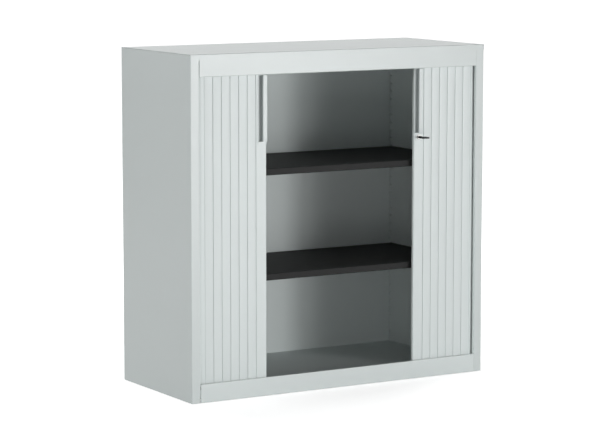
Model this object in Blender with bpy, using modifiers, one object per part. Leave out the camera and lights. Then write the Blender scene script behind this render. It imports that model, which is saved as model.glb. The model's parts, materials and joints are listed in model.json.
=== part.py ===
# A low steel cabinet with two tambour doors whose slats run round the front corners on tracks.
# Metres, +Z up, X to the right, Y towards the back. The origin is on the ground under the
# middle of the whole object, the key included.
import math

import bmesh
import bpy
from mathutils import Matrix, Vector

# Overall sizes
WIDTH = 1.000
DEPTH = 0.430
HEIGHT = 0.995

# Sheet metal and clearances
SHEET = 0.001
CLEAR = 0.0003
FOLD_RADIUS = 0.0015
OVERRUN = 0.004
FACE_OVERLAP = 0.0004
WELD = 0.00001

# Front frame
STILE_FACE = 0.028
FASCIA_HEIGHT = 0.064
CAP_BAND = 0.016
RAIL_HEIGHT = 0.0535
HEM = 0.008
REAR_RETURN = 0.018
REAR_BAND = 0.016
SIDE_FOOT = 0.025
SIDE_FOOT_FRONT = 0.030
SIDE_FOOT_BACK = 0.035
RAIL_FOOT = 0.024
FLOOR_TOP = 0.035
FLOOR_SKIRT = 0.020
BACK_RECESS = 0.010

# Inner linings and their slots
LINING_INSET = 0.064
LINING_FRONT = 0.026
LINING_FOLD = 0.016
SLOT_LENGTH = 0.012
SLOT_HEIGHT = 0.004
SLOT_PITCH = 0.0245
SLOT_LOWEST = 0.070
SLOT_TOP_MARGIN = 0.105
SLOT_REAR_INSET = 0.007
SLOT_FRONT_INSET = 0.036

# Shelves and their clips
SHELF_FRONT = 0.030
SHELF_REAR_GAP = 0.010
SHELF_LIP = 0.0193
SHELF_HEM = 0.012
SHELF_SKIRT = 0.015
SHELF_TOPS = (0.3505, 0.6568)
CLIP_WIDTH = 0.016
CLIP_REACH = 0.012
CLIP_THICK = 0.0012
CLIP_DROP = 0.005
CLIP_LEG = 0.016
CLIP_REAR_GAP = 0.0012

# Curtains and tracks
PITCH = 0.028
SLAT_COUNT = 6
SLAT_THICK = 0.007
SLAT_BACKSET = 0.0117
SLAT_GAP = 0.0008
SLAT_ROUND = 0.0009
SLAT_WALL = 0.0012
BEAD_RADIUS = 0.0013
BEAD_NECK = 0.0005
BEND_RADIUS = 0.030
TAIL_STEPS = 4
SIDE_RUN = 0.012
TRACK_SIDE_CLEAR = 0.0005
TRACK_WALL = 0.0015
TRACK_BASE = 0.0016
TRACK_DEPTH = 0.0105
TRACK_REAR_GAP = 0.016
STOP_LENGTH = 0.006

# Leading stiles: the open place of each leading edge from its own side
STILE_WIDTH = 0.034
STILE_THICK = 0.010
STILE_ROUND = 0.0012
LEFT_OPEN = 0.251
RIGHT_OPEN = 0.2425
MEETING_GAP = 0.001

# Pull handles
HANDLE_LENGTH = 0.1915
HANDLE_MARGIN = 0.0075
HANDLE_WALL = 0.0015
HANDLE_RECESS = 0.0125
HANDLE_LIP = 0.0135
HANDLE_FLANGE = 0.0009
HANDLE_FLOOR = 0.0013
HANDLE_DEEP = 0.0062
LIP_PROUD = 0.0067
LIP_ROUND = 0.0009

# Lock, cam, key and keeper
LOCK_DROP = 0.0125
LOCK_INSET = 0.0165
LOCK_FLANGE_RADIUS = 0.0078
LOCK_FLANGE = 0.0016
LOCK_BARREL_RADIUS = 0.0060
PLUG_RADIUS = 0.0042
PLUG_PROUD = 0.0006
TENON_RADIUS = 0.0022
TENON_CLEAR = 0.00045
CAM_THICK = 0.0020
CAM_WIDTH = 0.0084
CAM_REACH = 0.0300
CAM_NOTCH = 0.0056
CAM_NOTCH_DEEP = 0.0038
KEEPER_POST = 0.0032
KEEPER_PLATE = 0.0010
KEEPER_WIDTH = 0.016
KEEPER_HEIGHT = 0.030
KEYHOLE_DEEP = 0.0125
KEY_BLADE_WIDTH = 0.0054
KEY_BLADE_THICK = 0.0010
KEY_COLLAR_RADIUS = 0.0032
KEY_COLLAR_LENGTH = 0.010
KEY_BOW_WIDTH = 0.024
KEY_BOW_LENGTH = 0.030
KEY_BOW_THICK = 0.0036
KEY_BOW_HOLE = 0.0030
KEY_CORNER_SHARE = 0.45
KEY_NECK_SHARE = 0.35
KEY_SHOULDER_SHARE = 0.63
KEY_RING_SHARE = 0.54

# Levelling feet
FOOT_INSET_SIDE = 0.070
FOOT_INSET_FRONT = 0.062
FOOT_INSET_BACK = 0.062
FOOT_LIFT = 0.0005
FOOT_PAD_RADIUS = 0.016
FOOT_PAD = 0.005
FOOT_NUT_RADIUS = 0.0085
FOOT_NUT = 0.006
FOOT_STEM_RADIUS = 0.004
FOOT_STEM = 0.016
BRACKET_SIZE = 0.046
BRACKET_THICK = 0.002
STEM_TIP_SHARE = 0.8
PAD_TOP_SHARE = 0.7
PAD_EDGE_SHARE = 0.6

# Worked-out planes, in the object's own frame
KEY_FACE = SLAT_BACKSET - HANDLE_FLANGE - 2 * CLEAR - LOCK_FLANGE - PLUG_PROUD
KEY_REACH = KEY_COLLAR_LENGTH + KEY_BOW_LENGTH - KEY_FACE + CLEAR
FRONT = (KEY_REACH - DEPTH) / 2
HALF_SHEET = SHEET / 2
STILE_PLANE = SHEET + CLEAR
SLAT_MIDDLE = SLAT_BACKSET + SLAT_THICK / 2
UNDER_TOP = HEIGHT - SHEET - 2 * CLEAR
BACK_FACE = DEPTH - BACK_RECESS
TRACK_WIDTH = SLAT_THICK + 2 * TRACK_SIDE_CLEAR + 2 * TRACK_WALL
TRACK_FLOOR = FLOOR_TOP + CLEAR + TRACK_BASE
TRACK_CEILING = UNDER_TOP - SHEET - CLEAR - TRACK_BASE
SLAT_FOOT = TRACK_FLOOR + CLEAR
SLAT_HEAD = TRACK_CEILING - CLEAR
WALL_TOP = FLOOR_TOP + CLEAR + TRACK_DEPTH
WALL_FOOT = TRACK_CEILING + TRACK_BASE - TRACK_DEPTH
FASCIA_FOOT = HEIGHT - FASCIA_HEIGHT
HANDLE_HEAD = FASCIA_FOOT - SHEET
HANDLE_FOOT_Z = HANDLE_HEAD - HANDLE_LENGTH
HANDLE_WIDTH = HANDLE_WALL + HANDLE_RECESS + HANDLE_LIP
LOCK_Z = HANDLE_FOOT_Z - LOCK_DROP
TRACK_END = BACK_FACE - TRACK_REAR_GAP
CAM_PLANE = SLAT_BACKSET + STILE_THICK + KEEPER_PLATE + 2 * CLEAR
BEND_X = SIDE_RUN + BEND_RADIUS
BEND_Y = SLAT_MIDDLE + BEND_RADIUS
STILE_REAR = SLAT_BACKSET + STILE_THICK
LEFT, RIGHT = -1, 1


def across(side, inset):
    """The X of a place this far in from one side: -1 is the left side, +1 the right."""
    return side * (WIDTH / 2 - inset)


def along(distance):
    """The Y of a place this far behind the front plane."""
    return FRONT + distance


# Scene, collections and materials
def clear_scene():
    for obj in list(bpy.data.objects):
        bpy.data.objects.remove(obj, do_unlink=True)


def collection(name):
    made = bpy.data.collections.new(name)
    bpy.context.scene.collection.children.link(made)
    return made


clear_scene()
PARTS = collection("tambour_door_cabinet")
GUIDES = collection("cutters_and_guides")

FINISHES = {
    "light_grey_paint": ((0.70, 0.74, 0.74), 0.45, 0.0),
    "inner_grey_paint": ((0.60, 0.63, 0.63), 0.50, 0.0),
    "black_paint": ((0.025, 0.026, 0.026), 0.45, 0.0),
    "slat_plastic": ((0.72, 0.76, 0.76), 0.40, 0.0),
    "handle_plastic": ((0.78, 0.81, 0.81), 0.35, 0.0),
    "track_plastic": ((0.35, 0.36, 0.36), 0.50, 0.0),
    "plated_steel": ((0.66, 0.67, 0.68), 0.30, 1.0),
    "black_plastic": ((0.03, 0.03, 0.03), 0.45, 0.0),
    "rubber": ((0.04, 0.04, 0.04), 0.80, 0.0),
}


def finish(obj, kind):
    """Gives the object a Principled material of its own, in one of the cabinet's finishes."""
    colour, roughness, metallic = FINISHES[kind]
    made = bpy.data.materials.new(f"{obj.name}_{kind}")
    made.use_nodes = True
    shader = made.node_tree.nodes["Principled BSDF"]
    shader.inputs["Base Color"].default_value = (*colour, 1)
    shader.inputs["Roughness"].default_value = roughness
    shader.inputs["Metallic"].default_value = metallic
    obj.data.materials.append(made)
    return obj


# Basic shapes
def mesh_object(name, made):
    """Ends a bmesh: faces turned outward, then an object in its collection."""
    bmesh.ops.recalc_face_normals(made, faces=made.faces)
    if made.calc_volume(signed=True) < 0:
        bmesh.ops.reverse_faces(made, faces=made.faces)
    mesh = bpy.data.meshes.new(name)
    made.to_mesh(mesh)
    made.free()
    obj = bpy.data.objects.new(name, mesh)
    PARTS.objects.link(obj)
    return obj


def block(name, low, high):
    """A box between two corners."""
    low, high = Vector(low), Vector(high)
    made = bmesh.new()
    bmesh.ops.create_cube(made, size=1)
    size = Matrix.Diagonal((*(high - low), 1))
    made.transform(Matrix.Translation((low + high) / 2) @ size)
    return mesh_object(name, made)


def rod(name, radius, low, high, steps):
    """A round bar from one point to another."""
    low, high = Vector(low), Vector(high)
    made = bmesh.new()
    bmesh.ops.create_cone(made, cap_ends=True, segments=steps, radius1=radius, radius2=radius,
                          depth=(high - low).length)
    turn = (high - low).to_track_quat("Z", "Y").to_matrix().to_4x4()
    made.transform(Matrix.Translation((low + high) / 2) @ turn)
    return mesh_object(name, made)


FRAMES = {
    "Z": Matrix.Identity(4),
    "X": Matrix(((0, 0, 1, 0), (1, 0, 0, 0), (0, 1, 0, 0), (0, 0, 0, 1))),
    "Y": Matrix(((1, 0, 0, 0), (0, 0, 1, 0), (0, 1, 0, 0), (0, 0, 0, 1))),
}


def extruded(name, loops, axis, low, high):
    """A flat outline, with any holes, drawn out along an axis between two places."""
    curve = bpy.data.curves.new(name, "CURVE")
    curve.dimensions = "2D"
    curve.fill_mode = "BOTH"
    curve.extrude = abs(high - low) / 2
    for loop in loops:
        spline = curve.splines.new("POLY")
        spline.points.add(len(loop) - 1)
        for point, (u, v) in zip(spline.points, loop):
            point.co = (u, v, 0, 1)
        spline.use_cyclic_u = True
    drawn = bpy.data.objects.new(name + "_outline", curve)
    GUIDES.objects.link(drawn)
    graph = bpy.context.evaluated_depsgraph_get()
    made = bmesh.new()
    made.from_mesh(bpy.data.meshes.new_from_object(drawn.evaluated_get(graph)))
    bpy.data.objects.remove(drawn)
    bmesh.ops.remove_doubles(made, verts=made.verts, dist=WELD)
    made.transform(FRAMES[axis] @ Matrix.Translation((0, 0, (low + high) / 2)))
    return mesh_object(name, made)


def rounded_path(points, radius, steps=3):
    """A path of straight runs whose corners are arcs."""
    path = [Vector(points[0])]
    for before, corner, after in zip(points, points[1:], points[2:]):
        corner = Vector(corner)
        inward = (Vector(before) - corner).normalized()
        onward = (Vector(after) - corner).normalized()
        half = inward.angle(onward) / 2
        reach = radius / math.tan(half)
        centre = corner + (inward + onward).normalized() * radius / math.sin(half)
        start = corner + inward * reach - centre
        end = corner + onward * reach - centre
        sweep = start.angle(end)
        for step in range(steps + 1):
            share = step / steps
            first = math.sin((1 - share) * sweep) / math.sin(sweep)
            second = math.sin(share * sweep) / math.sin(sweep)
            path.append(centre + start * first + end * second)
    path.append(Vector(points[-1]))
    return path


def folded_sheet(name, corners, axis, low, high):
    """A sheet folded along a path through its middle, drawn out along an axis."""
    path = rounded_path(corners, FOLD_RADIUS)
    made = bmesh.new()
    rows = []
    for place in (low, high):
        rows.append([made.verts.new((point[0], point[1], place)) for point in path])
    for k in range(len(path) - 1):
        made.faces.new((rows[0][k], rows[0][k + 1], rows[1][k + 1], rows[1][k]))
    made.transform(FRAMES[axis])
    obj = mesh_object(name, made)
    thicken = obj.modifiers.new("sheet", "SOLIDIFY")
    thicken.thickness = SHEET
    thicken.offset = 0
    thicken.use_even_offset = True
    return obj


def turned(name, profile, steps):
    """A profile of (radius, height) points, top to bottom, turned about Z."""
    made = bmesh.new()
    verts = [made.verts.new((radius, 0, height)) for radius, height in profile]
    for first, second in zip(verts, verts[1:]):
        made.edges.new((first, second))
    mesh = bpy.data.meshes.new(name)
    made.to_mesh(mesh)
    made.free()
    obj = bpy.data.objects.new(name, mesh)
    PARTS.objects.link(obj)
    spin = obj.modifiers.new("turn", "SCREW")
    spin.steps = steps
    spin.render_steps = steps
    spin.use_merge_vertices = True
    spin.merge_threshold = WELD
    return obj


def boolean(obj, other, operation):
    """Cuts or joins with another object, which becomes a hidden guide."""
    PARTS.objects.unlink(other)
    GUIDES.objects.link(other)
    other.hide_render = True
    other.display_type = "WIRE"
    step = obj.modifiers.new(other.name, "BOOLEAN")
    step.operation = operation
    step.object = other
    step.solver = "EXACT"


def cut(obj, *cutters):
    """Takes the cutters' shapes out of the object."""
    for cutter in cutters:
        boolean(obj, cutter, "DIFFERENCE")
    return obj


def join(obj, *pieces):
    """Adds the pieces to the object as one body."""
    for piece in pieces:
        boolean(obj, piece, "UNION")
    return obj


def settle(obj):
    """Makes the object's mesh the one its modifiers give, so that it can cut or be cut again."""
    graph = bpy.context.evaluated_depsgraph_get()
    graph.update()
    mesh = bpy.data.meshes.new_from_object(obj.evaluated_get(graph))
    obj.modifiers.clear()
    obj.data = mesh
    return obj


def smooth(obj, angle=math.radians(35)):
    """Rounds the shading of curved faces and keeps the true edges sharp."""
    obj = settle(obj)
    obj.data.shade_smooth()
    obj.data.set_sharp_from_angle(angle=angle)
    return obj


# Carcass: the folded outer sheets
def side_panel(side, name):
    """A side with its front stile, both returns, and flanges at top and foot."""
    inner_edge = SLAT_BACKSET - SHEET
    path = [
        (across(side, STILE_FACE - HALF_SHEET), along(inner_edge)),
        (across(side, STILE_FACE - HALF_SHEET), along(STILE_PLANE + HALF_SHEET)),
        (across(side, HALF_SHEET), along(STILE_PLANE + HALF_SHEET)),
        (across(side, HALF_SHEET), along(DEPTH - HALF_SHEET)),
        (across(side, REAR_RETURN), along(DEPTH - HALF_SHEET)),
    ]
    panel = settle(folded_sheet(name, path, "Z", 0, UNDER_TOP))
    start, end = SIDE_FOOT_FRONT, DEPTH - SIDE_FOOT_BACK
    for label, low, high in (("foot", 0, SHEET), ("head", UNDER_TOP - SHEET, UNDER_TOP)):
        corners = box(side, (HALF_SHEET, SIDE_FOOT), (start, end), (low, high))
        join(panel, block(f"{name}_{label}_flange", *corners))
    return finish(panel, "light_grey_paint")


def box(side, insets, distances, heights):
    """The corners of a box given from one side, from the front plane and from the ground."""
    xs = sorted(across(side, inset) for inset in insets)
    return (
        (xs[0], along(min(distances)), min(heights)),
        (xs[1], along(max(distances)), max(heights)),
    )


def top_panel():
    """The top sheet with its front fascia, notched at both ends for the stiles, and a rear band."""
    path = [
        (along(HEM), FASCIA_FOOT + HALF_SHEET),
        (along(HALF_SHEET), FASCIA_FOOT + HALF_SHEET),
        (along(HALF_SHEET), HEIGHT - HALF_SHEET),
        (along(DEPTH - HALF_SHEET), HEIGHT - HALF_SHEET),
        (along(DEPTH - HALF_SHEET), HEIGHT - REAR_BAND),
    ]
    panel = folded_sheet("top_panel", path, "X", -WIDTH / 2, WIDTH / 2)
    for side, label in ((LEFT, "left"), (RIGHT, "right")):
        notch = block(f"top_{label}_front_notch", *box(
            side, (-OVERRUN, STILE_FACE + CLEAR), (-OVERRUN, SLAT_BACKSET),
            (FASCIA_FOOT - OVERRUN, HEIGHT - CAP_BAND)))
        rear = block(f"top_{label}_rear_notch", *box(
            side, (-OVERRUN, REAR_RETURN + CLEAR), (DEPTH - FOLD_RADIUS - SHEET, DEPTH + OVERRUN),
            (HEIGHT - REAR_BAND - OVERRUN, UNDER_TOP + CLEAR / 2)))
        cut(panel, notch, rear)
    return finish(panel, "light_grey_paint")


def bottom_front_rail():
    """The rail under the doors, between the stiles and a sheet's thickness in front of them."""
    path = [
        (along(RAIL_FOOT), HALF_SHEET),
        (along(HALF_SHEET), HALF_SHEET),
        (along(HALF_SHEET), RAIL_HEIGHT - HALF_SHEET),
        (along(HEM), RAIL_HEIGHT - HALF_SHEET),
    ]
    reach = WIDTH / 2 - STILE_FACE - CLEAR
    return finish(folded_sheet("bottom_front_rail", path, "X", -reach, reach), "light_grey_paint")


def base_panel():
    """The floor sheet, with a short skirt at the front and a full one at the back."""
    rear = DEPTH - SHEET - CLEAR - HALF_SHEET
    path = [
        (along(HEM / 2), FLOOR_TOP - FLOOR_SKIRT),
        (along(HEM / 2), FLOOR_TOP - HALF_SHEET),
        (along(rear), FLOOR_TOP - HALF_SHEET),
        (along(rear), HALF_SHEET),
        (along(rear - SIDE_FOOT), HALF_SHEET),
    ]
    reach = WIDTH / 2 - SHEET - 2 * CLEAR
    panel = folded_sheet("base_panel", path, "X", -reach, reach)
    for side, label in ((LEFT, "left"), (RIGHT, "right")):
        notch = block(f"base_{label}_notch", *box(
            side, (-OVERRUN, STILE_FACE + CLEAR), (-OVERRUN, SLAT_BACKSET),
            (-OVERRUN, FLOOR_TOP + OVERRUN)))
        cut(panel, notch)
    return finish(panel, "inner_grey_paint")


def back_panel():
    """The back, a shallow tray between the linings and the rear returns, flanged at both sides."""
    edge = DEPTH - SHEET - CLEAR
    reach = WIDTH / 2 - SHEET - 2 * CLEAR
    path = [
        (-reach + HALF_SHEET, along(edge)),
        (-reach + HALF_SHEET, along(BACK_FACE + HALF_SHEET)),
        (reach - HALF_SHEET, along(BACK_FACE + HALF_SHEET)),
        (reach - HALF_SHEET, along(edge)),
    ]
    panel = folded_sheet("back_panel", path, "Z", FLOOR_TOP + CLEAR, UNDER_TOP - SHEET - CLEAR)
    return finish(panel, "inner_grey_paint")


# Linings: the slotted inner walls that hide the curtains' side runs
def slot_heights():
    count = int((HEIGHT - SLOT_TOP_MARGIN - SLOT_LOWEST) / SLOT_PITCH) + 1
    return [SLOT_LOWEST + SLOT_PITCH * k for k in range(count)]


def slot_columns():
    return (SHELF_FRONT + SLOT_FRONT_INSET, BACK_FACE - SLOT_REAR_INSET)


def lining(side, name):
    """An inner wall, folded outward behind the curtain and again at the back, with two slot columns."""
    middle = LINING_INSET - HALF_SHEET
    path = [
        (across(side, middle - LINING_FOLD), along(LINING_FRONT)),
        (across(side, middle), along(LINING_FRONT)),
        (across(side, middle), along(BACK_FACE - CLEAR - HALF_SHEET)),
        (across(side, middle - LINING_FOLD), along(BACK_FACE - CLEAR - HALF_SHEET)),
    ]
    wall = settle(folded_sheet(name, path, "Z", FLOOR_TOP + CLEAR, UNDER_TOP - SHEET - CLEAR))
    combs = bmesh.new()
    for distance in slot_columns():
        for height in slot_heights():
            spot = Matrix.Translation((across(side, middle), along(distance), height))
            size = Matrix.Diagonal((OVERRUN, SLOT_LENGTH, SLOT_HEIGHT, 1))
            bmesh.ops.create_cube(combs, size=1, matrix=spot @ size)
    cut(wall, mesh_object(name + "_slots", combs))
    return finish(wall, "inner_grey_paint")


# Tracks: grooved runners along the front, round the corner and back along the side
def track_path(side, offset=0.0, steps=8):
    """The curtain's middle line in plan, or a line beside it: front run, quarter bend, side run."""
    radius = BEND_RADIUS + offset
    path = [(across(side, WIDTH / 2 - CLEAR), along(BEND_Y - radius))]
    for step in range(steps + 1):
        turn = math.pi / 2 * step / steps
        path.append((across(side, BEND_X - radius * math.sin(turn)),
                     along(BEND_Y - radius * math.cos(turn))))
    path.append((across(side, BEND_X - radius), along(TRACK_END)))
    return path


def band(name, side, outer, inner, low, high):
    """A strip between two lines beside the curtain's middle line."""
    loop = track_path(side, outer) + list(reversed(track_path(side, inner)))
    return extruded(name, [loop], "Z", low, high)


def track(side, name, base_foot, wall_end):
    """A channel: a base band and two walls, which stand or hang in the base's middle."""
    half = TRACK_WIDTH / 2
    base = band(name, side, half, -half, base_foot, base_foot + TRACK_BASE)
    low, high = sorted((base_foot + TRACK_BASE / 2, wall_end))
    outside = half - FACE_OVERLAP / 2
    inside = half - TRACK_WALL
    join(base, band(name + "_outer_wall", side, outside, inside, low, high))
    join(base, band(name + "_inner_wall", side, -inside, -outside, low, high))
    return finish(base, "track_plastic")


def track_stop(side, name):
    """A rubber block in the groove at the curtain's end."""
    half = SLAT_THICK / 2
    start = tail_end(side) + CLEAR
    corners = box(side, (SIDE_RUN - half, SIDE_RUN + half), (start, start + STOP_LENGTH),
                  (TRACK_FLOOR + CLEAR, WALL_TOP))
    return finish(block(name, *corners), "rubber")


# Shelves and clips
def shelf(name, top):
    """A tray shelf: a front lip hemmed back, a rear skirt and two end skirts."""
    reach = WIDTH / 2 - LINING_INSET - CLEAR
    rear = BACK_FACE - SHELF_REAR_GAP - HALF_SHEET
    path = [
        (along(SHELF_FRONT + SHELF_HEM), top - SHELF_LIP + HALF_SHEET),
        (along(SHELF_FRONT + HALF_SHEET), top - SHELF_LIP + HALF_SHEET),
        (along(SHELF_FRONT + HALF_SHEET), top - HALF_SHEET),
        (along(rear), top - HALF_SHEET),
        (along(rear), top - SHELF_SKIRT),
    ]
    tray = settle(folded_sheet(name, path, "X", -reach, reach))
    for side, label in ((LEFT, "left"), (RIGHT, "right")):
        skirt = block(f"{name}_{label}_skirt", *box(
            side, (LINING_INSET + CLEAR + FACE_OVERLAP, LINING_INSET + CLEAR + FACE_OVERLAP + SHEET),
            (SHELF_FRONT + SHELF_HEM + SHEET, BACK_FACE - SHELF_REAR_GAP - 2 * SHEET),
            (top - SHELF_SKIRT, top - HALF_SHEET)))
        join(tray, skirt)
    return finish(tray, "black_paint")


def shelf_clip(name, side, distance, top):
    """A clip whose hook passes through a slot and drops behind the wall, under the shelf's end skirt."""
    seat = top - SHELF_SKIRT - CLEAR
    slot = max(height for height in slot_heights() if height < seat - CLIP_THICK)
    face = LINING_INSET + CLEAR
    back = LINING_INSET - SHEET - CLEAR
    wide = (distance - CLIP_WIDTH / 2, distance + CLIP_WIDTH / 2)
    if distance > DEPTH / 2:
        wide = (BACK_FACE - SHELF_REAR_GAP - CLIP_WIDTH, BACK_FACE - CLIP_REAR_GAP)
    hook = (distance - SLOT_LENGTH / 2 + CLEAR, distance + SLOT_LENGTH / 2 - CLEAR)
    half = SLOT_HEIGHT / 2 - CLEAR
    leg = min(slot - half, seat - CLIP_LEG)
    clip = block(name, *box(side, (face, face + CLIP_THICK), wide, (leg, seat)))
    tongue = block(name + "_tongue", *box(
        side, (face + CLIP_THICK / 2, face + CLIP_REACH),
        (wide[0] + CLEAR, wide[1] - CLEAR), (seat - CLIP_THICK, seat)))
    neck = block(name + "_neck", *box(
        side, (back - CLIP_THICK / 2, face + CLIP_THICK / 2), hook, (slot - half, slot + half)))
    drop = block(name + "_drop", *box(
        side, (back - CLIP_THICK, back), (hook[0] + CLEAR, hook[1] - CLEAR), (slot - CLIP_DROP, slot)))
    return finish(join(clip, tongue, neck, drop), "plated_steel")


# Levelling feet: a threaded foot in a bracket under each corner of the floor
def foot_places():
    for side, label in ((LEFT, "left"), (RIGHT, "right")):
        for end, distance in (("front", FOOT_INSET_FRONT), ("rear", DEPTH - FOOT_INSET_BACK)):
            yield f"{end}_{label}", across(side, FOOT_INSET_SIDE), along(distance)


def foot_bracket(name, x, y):
    """A hat-shaped bracket under the floor with the foot's hole."""
    low = FOOT_LIFT + FOOT_PAD + FOOT_NUT + CLEAR
    half = BRACKET_SIZE / 2
    plate = block(name, (x - half, y - half, low), (x + half, y + half, low + BRACKET_THICK))
    top = FLOOR_TOP - SHEET - CLEAR
    for label, way in (("left", -1), ("right", 1)):
        edges = sorted((x + way * (half - CLEAR), x + way * (half - CLEAR - BRACKET_THICK)))
        leg = block(f"{name}_{label}_leg", (edges[0], y - half + CLEAR, low + BRACKET_THICK / 2),
                    (edges[1], y + half - CLEAR, top))
        join(plate, leg)
    hole = rod(name + "_hole", FOOT_STEM_RADIUS + CLEAR, (x, y, low - OVERRUN),
               (x, y, low + BRACKET_THICK + OVERRUN), 20)
    return finish(cut(plate, hole), "plated_steel")


def levelling_foot(name, x, y):
    """A pad, a hexagon to turn it by and a stem, standing on its screw's axis."""
    base = FOOT_LIFT
    hexagon = base + FOOT_PAD + FOOT_NUT
    tip = hexagon + BRACKET_THICK + FOOT_STEM
    profile = [
        (0, tip),
        (FOOT_STEM_RADIUS * STEM_TIP_SHARE, tip),
        (FOOT_STEM_RADIUS, tip - SHEET),
        (FOOT_STEM_RADIUS, base + FOOT_PAD),
        (FOOT_PAD_RADIUS * PAD_TOP_SHARE, base + FOOT_PAD),
        (FOOT_PAD_RADIUS, base + FOOT_PAD * PAD_EDGE_SHARE),
        (FOOT_PAD_RADIUS, base),
        (0, base),
    ]
    foot = settle(turned(name, profile, 20))
    nut = rod(name + "_hexagon", FOOT_NUT_RADIUS, (0, 0, base + FOOT_PAD / 2), (0, 0, hexagon), 6)
    foot = smooth(join(foot, nut))
    foot.location = (x, y, 0)
    return finish(foot, "black_plastic")


# Slats: hollow strips that hook together, a bead in the next one's socket
def arc(centre, radius, start, end, steps):
    """Points round a centre from one angle to another, in degrees."""
    points = []
    for step in range(steps + 1):
        turn = math.radians(start + (end - start) * step / steps)
        points.append((centre[0] + radius * math.cos(turn), centre[1] + radius * math.sin(turn)))
    return points


def bead_place():
    """The bead's centre, from the slat edge that it stands out of and from the slat's front."""
    return BEAD_RADIUS + CLEAR + SLAT_WALL + SLAT_GAP, SLAT_THICK - SLAT_WALL - BEAD_RADIUS - CLEAR


def socket_loop(edge, inward):
    """A socket's opening at a slat's edge, front to back: a throat and a round chamber."""
    reach, depth = bead_place()
    radius = BEAD_RADIUS + CLEAR
    throat = BEAD_NECK + CLEAR
    lean = math.degrees(math.asin(throat / radius))
    chamber = arc((reach - SLAT_GAP, depth), radius, 180 + lean, 540 - lean, 10)
    loop = [(0, depth - throat), *chamber, (0, depth + throat)]
    return [(edge + inward * u, v) for u, v in loop]


def slat_loops():
    """One slat's section from its bead edge at 0 to its socket edge, with its hollow."""
    right = PITCH - SLAT_GAP
    reach, depth = bead_place()
    lean = math.degrees(math.asin(BEAD_NECK / BEAD_RADIUS))
    bead = arc((-reach, depth), BEAD_RADIUS, lean, 360 - lean, 10)
    outline = [(0, depth + BEAD_NECK), *bead, (0, depth - BEAD_NECK)]
    outline += arc((SLAT_ROUND, SLAT_ROUND), SLAT_ROUND, 180, 270, 3)
    outline += arc((right - SLAT_ROUND, SLAT_ROUND), SLAT_ROUND, 270, 360, 3)
    outline += socket_loop(right, -1)
    outline += [(right, SLAT_THICK), (0, SLAT_THICK)]
    start, end = SLAT_WALL * 2, right - reach * 2
    hollow = [
        (start, SLAT_WALL),
        (end, SLAT_WALL),
        (end, SLAT_THICK - SLAT_WALL),
        (start, SLAT_THICK - SLAT_WALL),
    ]
    return [outline, hollow]


def slat(side, name, outer_edge):
    """A slat whose outer edge, with the bead, is this far in from its side."""
    loops = []
    for loop in slat_loops():
        loops.append([(across(side, outer_edge + u), along(SLAT_BACKSET + v)) for u, v in loop])
    made = extruded(name, loops, "Z", SLAT_FOOT, SLAT_HEAD)
    return finish(made, "slat_plastic")


def tail_start(side):
    """How far in from its side the curtain's front slats end."""
    opened = LEFT_OPEN if side == LEFT else RIGHT_OPEN
    return opened - STILE_WIDTH - SLAT_COUNT * PITCH


def place_on_path(side, length, offset):
    """The plan point this far along the hidden run, and this far outward of its middle line."""
    lead = tail_start(side) - BEND_X
    bend = BEND_RADIUS * math.pi / 2
    radius = BEND_RADIUS + offset
    if length <= lead:
        return across(side, tail_start(side) - length), along(BEND_Y - radius)
    if length <= lead + bend:
        turn = (length - lead) / BEND_RADIUS
        return (across(side, BEND_X - radius * math.sin(turn)), along(BEND_Y - radius * math.cos(turn)))
    return across(side, BEND_X - radius), along(BEND_Y + length - lead - bend)


def tail_slats(side):
    """How many slats the hidden run holds, with the stop behind them."""
    run = TRACK_END - STOP_LENGTH - BEND_Y
    return int((tail_start(side) - BEND_X + BEND_RADIUS * math.pi / 2 + run) / PITCH)


def tail_end(side):
    """How far behind the front plane the curtain's last slat ends."""
    return place_on_path(side, tail_slats(side) * PITCH - SLAT_GAP, 0)[1] - FRONT


def curtain_tail(side, name):
    """The slats behind the stile, round the bend and along the side, one band grooved at each joint."""
    half = SLAT_THICK / 2
    waist = half - SLAT_WALL
    count = tail_slats(side)
    length = bead_place()[0] + BEAD_RADIUS + CLEAR
    outer, inner = [], []
    for k in range(count):
        end = (k + 1) * PITCH - SLAT_GAP
        steps = TAIL_STEPS if length < tail_start(side) - BEND_X + BEND_RADIUS * math.pi / 2 else 1
        for step in range(steps + 1):
            place = length + (end - length) * step / steps
            outer.append(place_on_path(side, place, half))
            inner.append(place_on_path(side, place, -half))
        length = (k + 1) * PITCH
        if k < count - 1:
            outer.append(place_on_path(side, length - SLAT_GAP / 2, waist))
            inner.append(place_on_path(side, length - SLAT_GAP / 2, -waist))
    made = extruded(name, [outer + inner[::-1]], "Z", SLAT_FOOT, SLAT_HEAD)
    return finish(made, "slat_plastic")


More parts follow.
